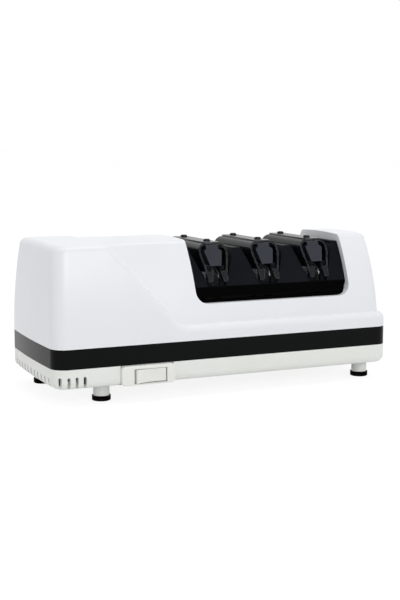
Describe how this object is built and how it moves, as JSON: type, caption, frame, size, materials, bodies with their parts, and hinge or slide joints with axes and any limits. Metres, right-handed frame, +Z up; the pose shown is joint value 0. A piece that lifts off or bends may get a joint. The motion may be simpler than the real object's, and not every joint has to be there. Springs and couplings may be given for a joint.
{
  "type": "electric knife sharpener",
  "caption": "Electric knife sharpener: white housing with a slanted step, black band, sharpening slots with sprung knife guides, rocker switch and vented base on posts.",
  "frame": {"origin": "On the table, under the middle of the body: the middle of the bounding box at the underside of the feet.", "axes": "+X to the right along the length, -Y the front with the switch, +Z up."},
  "size_m": [0.254, 0.1144, 0.105],
  "materials": {
    "housing_white": "satin white moulding",
    "base_white": "off-white moulding with a fine grain",
    "band_black": "glossy black band",
    "foot_rubber": "black rubber",
    "liner_black": "satin black moulding",
    "guide_grey": "cut face of grey moulding",
    "guide_black": "smooth charcoal elastomer",
    "plate_black": "satin black plate",
    "screw_black": "black screws",
    "bright_steel": "bright steel",
    "hub_plastic": "black hub moulding",
    "disc_steel": "ground steel with fine abrasive",
    "motor_steel": "varnished laminations and zinc straps",
    "coil_copper": "lacquered copper windings",
    "bush_bronze": "sintered bronze",
    "switch_black": "black switch plastic",
    "lever_plastic": "dark grey moulding",
    "pad_abrasive": "bonded abrasive",
    "magnet_dark": "dark ferrite"
  },
  "bodies": {
    "body": {"base_tray": "base_white", "cleanout_magnet": "magnet_dark", "cord_gland": "switch_black", "end_bearing_pedestal": "lever_plastic", "end_bush": "bush_bronze", "field_coils": "coil_copper", "guide_core_1": "guide_grey", "guide_core_2": "guide_grey", "guide_core_3": "guide_grey", "guide_plate_1": "plate_black", "guide_plate_2": "plate_black", "guide_plate_3": "plate_black", "guide_screws": "screw_black", "guide_spring_1": "guide_black", "guide_spring_2": "guide_black", "guide_spring_3": "guide_black", "housing_screws": "bright_steel", "lever_screw": "bright_steel", "motor_bolts": "bright_steel", "motor_bracket_left": "motor_steel", "motor_bracket_right": "motor_steel", "rubber_feet": "foot_rubber", "shaft_bushes": "bush_bronze", "stator_stack": "motor_steel", "switch_bezel": "switch_black", "switch_body": "switch_black", "trim_band": "band_black", "upper_housing": "housing_white", "well_liner": "liner_black"},
    "shaft": {"motor_shaft": "bright_steel", "rotor_core": "motor_steel", "cooling_fan": "lever_plastic", "disc_stops": "bright_steel", "disc_spring_1": "bright_steel", "disc_spring_2": "bright_steel", "disc_spring_3": "bright_steel"},
    "rocker": {"switch_rocker": "switch_black"},
    "lever": {"dressing_lever": "lever_plastic", "dressing_pads": "pad_abrasive"},
    "cover": {"cleanout_cover": "lever_plastic"},
    "disc_1_left": {"disc_1_left": "disc_steel", "disc_hub_1_left": "hub_plastic"},
    "disc_1_right": {"disc_1_right": "disc_steel", "disc_hub_1_right": "hub_plastic"},
    "disc_2_left": {"disc_2_left": "disc_steel", "disc_hub_2_left": "hub_plastic"},
    "disc_2_right": {"disc_2_right": "disc_steel", "disc_hub_2_right": "hub_plastic"},
    "disc_3_left": {"disc_3_left": "disc_steel", "disc_hub_3_left": "hub_plastic"},
    "disc_3_right": {"disc_3_right": "disc_steel", "disc_hub_3_right": "hub_plastic"}
  },
  "joints": [
    {"name": "rocker_press", "type": "hinge", "parent": "body", "child": "rocker", "pos_m": [-0.06075, -0.052, 0.0178], "axis": [0, 0, -1], "range_deg": [0, 14]},
    {"name": "shaft_spin", "type": "hinge", "parent": "body", "child": "shaft", "pos_m": [0, -0.01, 0.0565], "axis": [1, 0, 0], "continuous": true},
    {"name": "lever_swing", "type": "hinge", "parent": "body", "child": "lever", "pos_m": [0.0749, 0.033, 0.0545], "axis": [0, 0, 1], "range_deg": [-8, 8]},
    {"name": "cover_slide", "type": "slide", "parent": "body", "child": "cover", "axis": [-1, 0, 0], "range_m": [0, 0.028]},
    {"name": "disc_1_left_slide", "type": "slide", "parent": "shaft", "child": "disc_1_left", "axis": [1, 0, 0], "range_m": [0, 0.0015], "stiffness_N_per_m": 1500, "springref_m": -0.002},
    {"name": "disc_1_right_slide", "type": "slide", "parent": "shaft", "child": "disc_1_right", "axis": [-1, 0, 0], "range_m": [0, 0.0015], "stiffness_N_per_m": 1500, "springref_m": -0.002},
    {"name": "disc_2_left_slide", "type": "slide", "parent": "shaft", "child": "disc_2_left", "axis": [1, 0, 0], "range_m": [0, 0.0015], "stiffness_N_per_m": 1500, "springref_m": -0.002},
    {"name": "disc_2_right_slide", "type": "slide", "parent": "shaft", "child": "disc_2_right", "axis": [-1, 0, 0], "range_m": [0, 0.0015], "stiffness_N_per_m": 1500, "springref_m": -0.002},
    {"name": "disc_3_left_slide", "type": "slide", "parent": "shaft", "child": "disc_3_left", "axis": [1, 0, 0], "range_m": [0, 0.0015], "stiffness_N_per_m": 1500, "springref_m": -0.002},
    {"name": "disc_3_right_slide", "type": "slide", "parent": "shaft", "child": "disc_3_right", "axis": [-1, 0, 0], "range_m": [0, 0.0015], "stiffness_N_per_m": 1500, "springref_m": -0.002}
  ]
}
